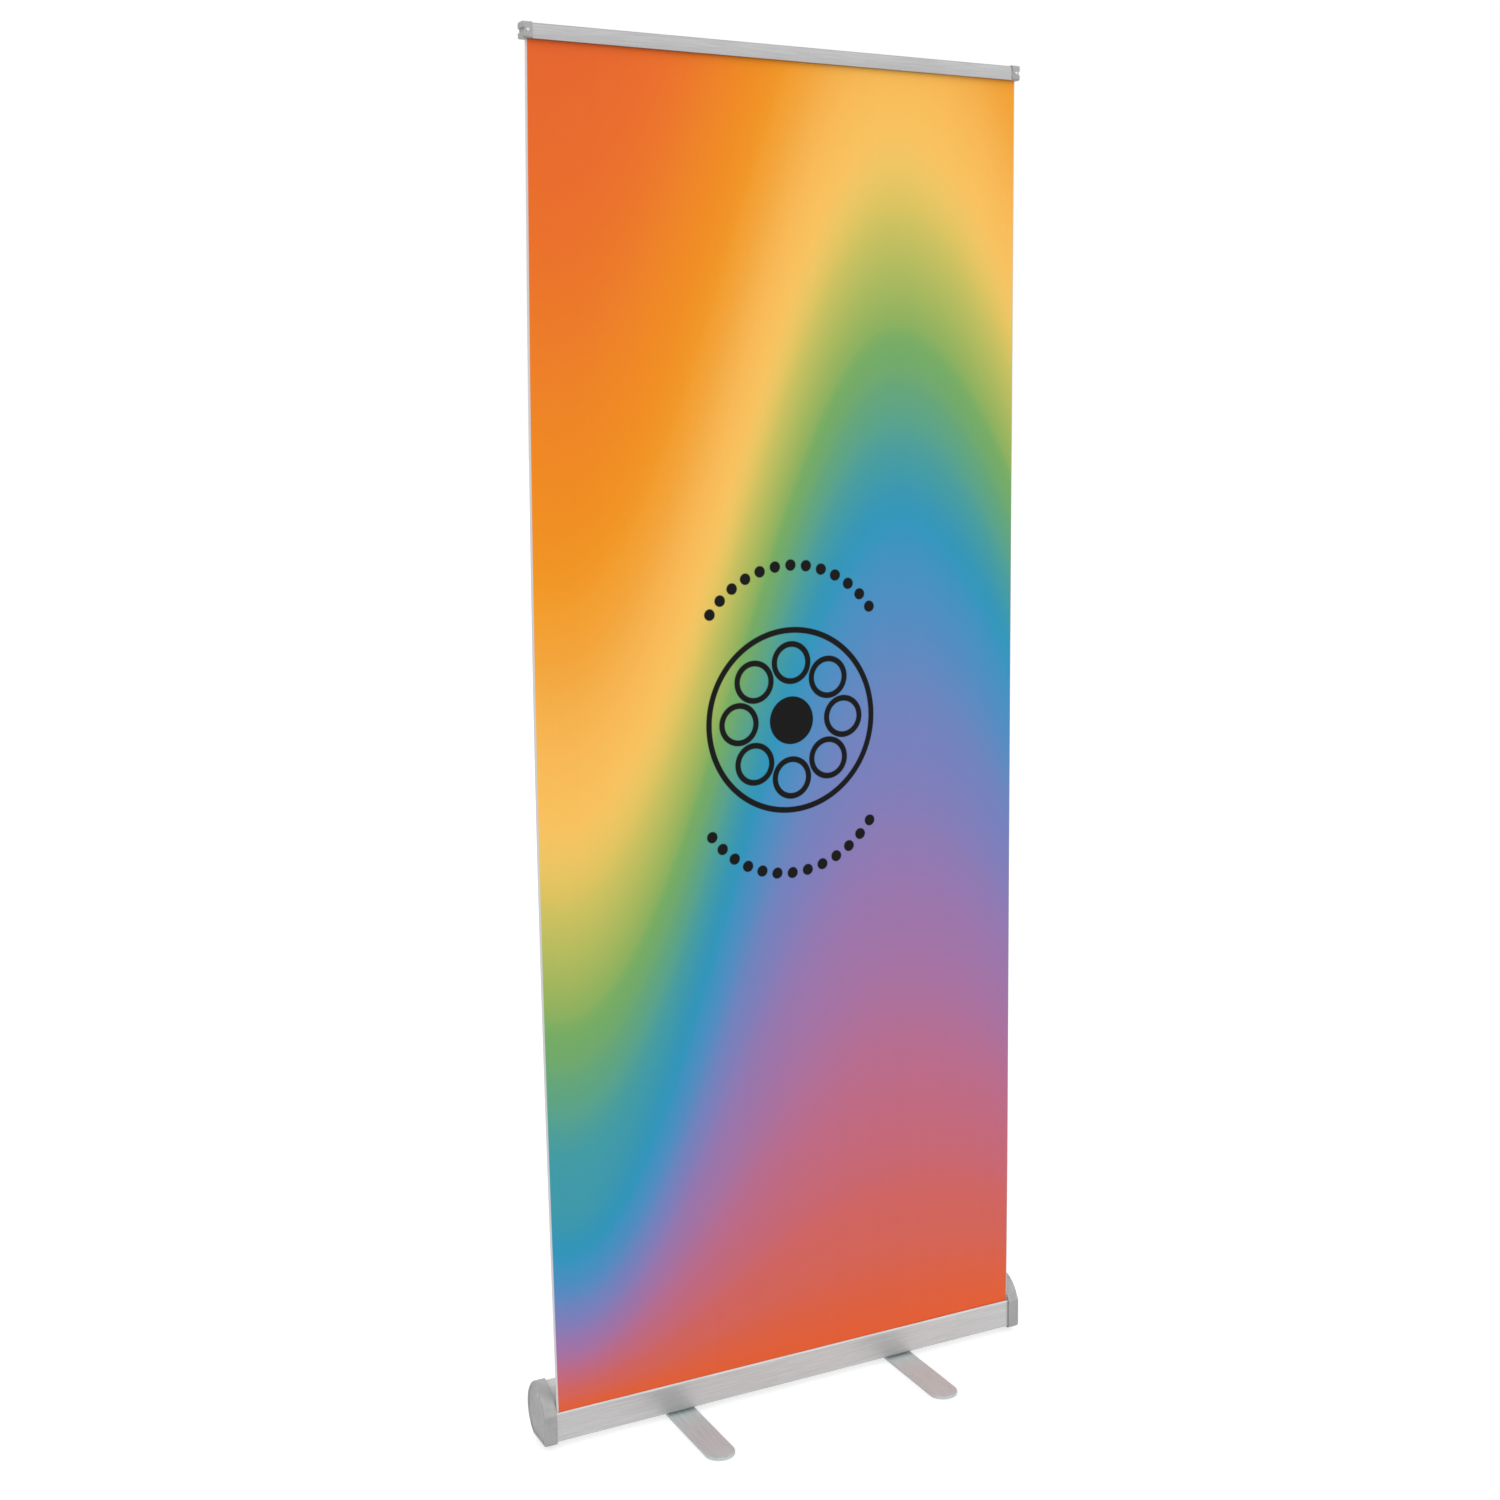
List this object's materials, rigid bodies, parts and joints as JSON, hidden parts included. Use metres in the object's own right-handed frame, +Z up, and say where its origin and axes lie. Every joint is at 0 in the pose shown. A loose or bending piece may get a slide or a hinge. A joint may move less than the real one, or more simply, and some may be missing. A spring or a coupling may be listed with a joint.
{
  "type": "roll-up banner stand",
  "caption": "Retractable banner stand: a printed film rises from a slotted roller base on swing-out flat feet to a top rail held by a telescopic pole.",
  "frame": {"origin": "on the floor, midway between the pivots of the two feet, which is the middle of the bounding box's underside", "axes": "+Z up, +X along the base to the right as seen from the printed side, -Y the way the print faces"},
  "size_m": [0.846, 0.376, 2.0797],
  "materials": {
    "base_aluminium": "satin anodised extrusion",
    "rail_aluminium": "satin anodised extrusion",
    "foot_aluminium": "brushed flat bar",
    "tube_aluminium": "drawn tube, satin",
    "cap_plastic": "silver-grey moulded plastic",
    "fitting_plastic": "dark moulded plastic",
    "steel": "zinc plated",
    "spring_steel": "oiled spring wire",
    "rubber": "matt",
    "printed_film": "printed on one side, matt grey on the other",
    "leader_film": "unprinted film"
  },
  "bodies": {
    "base": {"housing_shell": "base_aluminium", "end_cap_left": "cap_plastic", "end_cap_right": "cap_plastic", "end_cap_screws": "steel", "pole_socket": "fitting_plastic", "socket_screws": "steel", "idler_axle": "steel", "spring_arbor": "steel", "spring_anchor": "steel", "film_leader": "leader_film", "banner_lower": "printed_film", "foot_pivot_screws": "steel", "foot_spacers": "steel", "pivot_nuts": "steel"},
    "roller": {"roller_tube": "tube_aluminium", "roller_plug_left": "fitting_plastic", "roller_plug_right": "fitting_plastic", "torsion_spring": "spring_steel", "film_roll": "leader_film"},
    "foot_left": {"foot_bar_left": "foot_aluminium", "foot_pads_left": "rubber"},
    "foot_right": {"foot_bar_right": "foot_aluminium", "foot_pads_right": "rubber"},
    "pole_lower": {"pole_tube_lower": "tube_aluminium", "pole_foot_plug": "fitting_plastic", "lower_collet": "fitting_plastic"},
    "lower_lock": {"lock_collar_lower": "fitting_plastic"},
    "pole_middle": {"pole_tube_middle": "tube_aluminium", "middle_glide": "fitting_plastic", "upper_collet": "fitting_plastic"},
    "upper_lock": {"lock_collar_upper": "fitting_plastic"},
    "pole_upper": {"pole_tube_upper": "tube_aluminium", "upper_glide": "fitting_plastic", "pole_head": "fitting_plastic"},
    "top_rail": {"rail_back": "rail_aluminium", "rail_cap_left": "cap_plastic", "rail_cap_right": "cap_plastic", "rail_cap_screws": "steel", "banner_upper": "printed_film"},
    "rail_cover": {"rail_clamp_cover": "rail_aluminium"}
  },
  "joints": [
    {"name": "foot_left_swing", "type": "hinge", "parent": "base", "child": "foot_left", "pos_m": [-0.195, 0, 0.0035], "axis": [0, 0, 1], "range_deg": [0, 90]},
    {"name": "foot_right_swing", "type": "hinge", "parent": "base", "child": "foot_right", "pos_m": [0.195, 0, 0.0035], "axis": [0, 0, 1], "range_deg": [-90, 0]},
    {"name": "roller_turn", "type": "hinge", "parent": "base", "child": "roller", "pos_m": [0, -0.0158, 0.034], "axis": [1, 0, 0], "range_deg": [0, 5002]},
    {"name": "pole_lift", "type": "slide", "parent": "base", "child": "pole_lower", "axis": [0, 0, 1], "range_m": [0, 0.08]},
    {"name": "lower_lock_turn", "type": "hinge", "parent": "pole_lower", "child": "lower_lock", "pos_m": [0, 0.013, 0.7485], "axis": [0, 0, 1], "range_deg": [0, 90]},
    {"name": "pole_middle_slide", "type": "slide", "parent": "pole_lower", "child": "pole_middle", "axis": [0, 0, 1], "range_m": [-0.6, 0], "deforming": ["banner_lower"]},
    {"name": "upper_lock_turn", "type": "hinge", "parent": "pole_middle", "child": "upper_lock", "pos_m": [0, 0.013, 1.396], "axis": [0, 0, 1], "range_deg": [0, 90]},
    {"name": "pole_upper_slide", "type": "slide", "parent": "pole_middle", "child": "pole_upper", "axis": [0, 0, 1], "range_m": [-0.6, 0]},
    {"name": "rail_lift", "type": "slide", "parent": "pole_upper", "child": "top_rail", "axis": [0, 0, 1], "range_m": [0, 0.02]},
    {"name": "rail_cover_open", "type": "hinge", "parent": "top_rail", "child": "rail_cover", "pos_m": [0, -0.03653, 2.0755], "axis": [-1, 0, 0], "range_deg": [0, 60]}
  ],
  "couplings": [
    {"joint": "pole_upper_slide", "follows": "pole_middle_slide", "ratio": 1},
    {"joint": "roller_turn", "follows": "pole_middle_slide", "rad_per_m": -145.45}
  ]
}
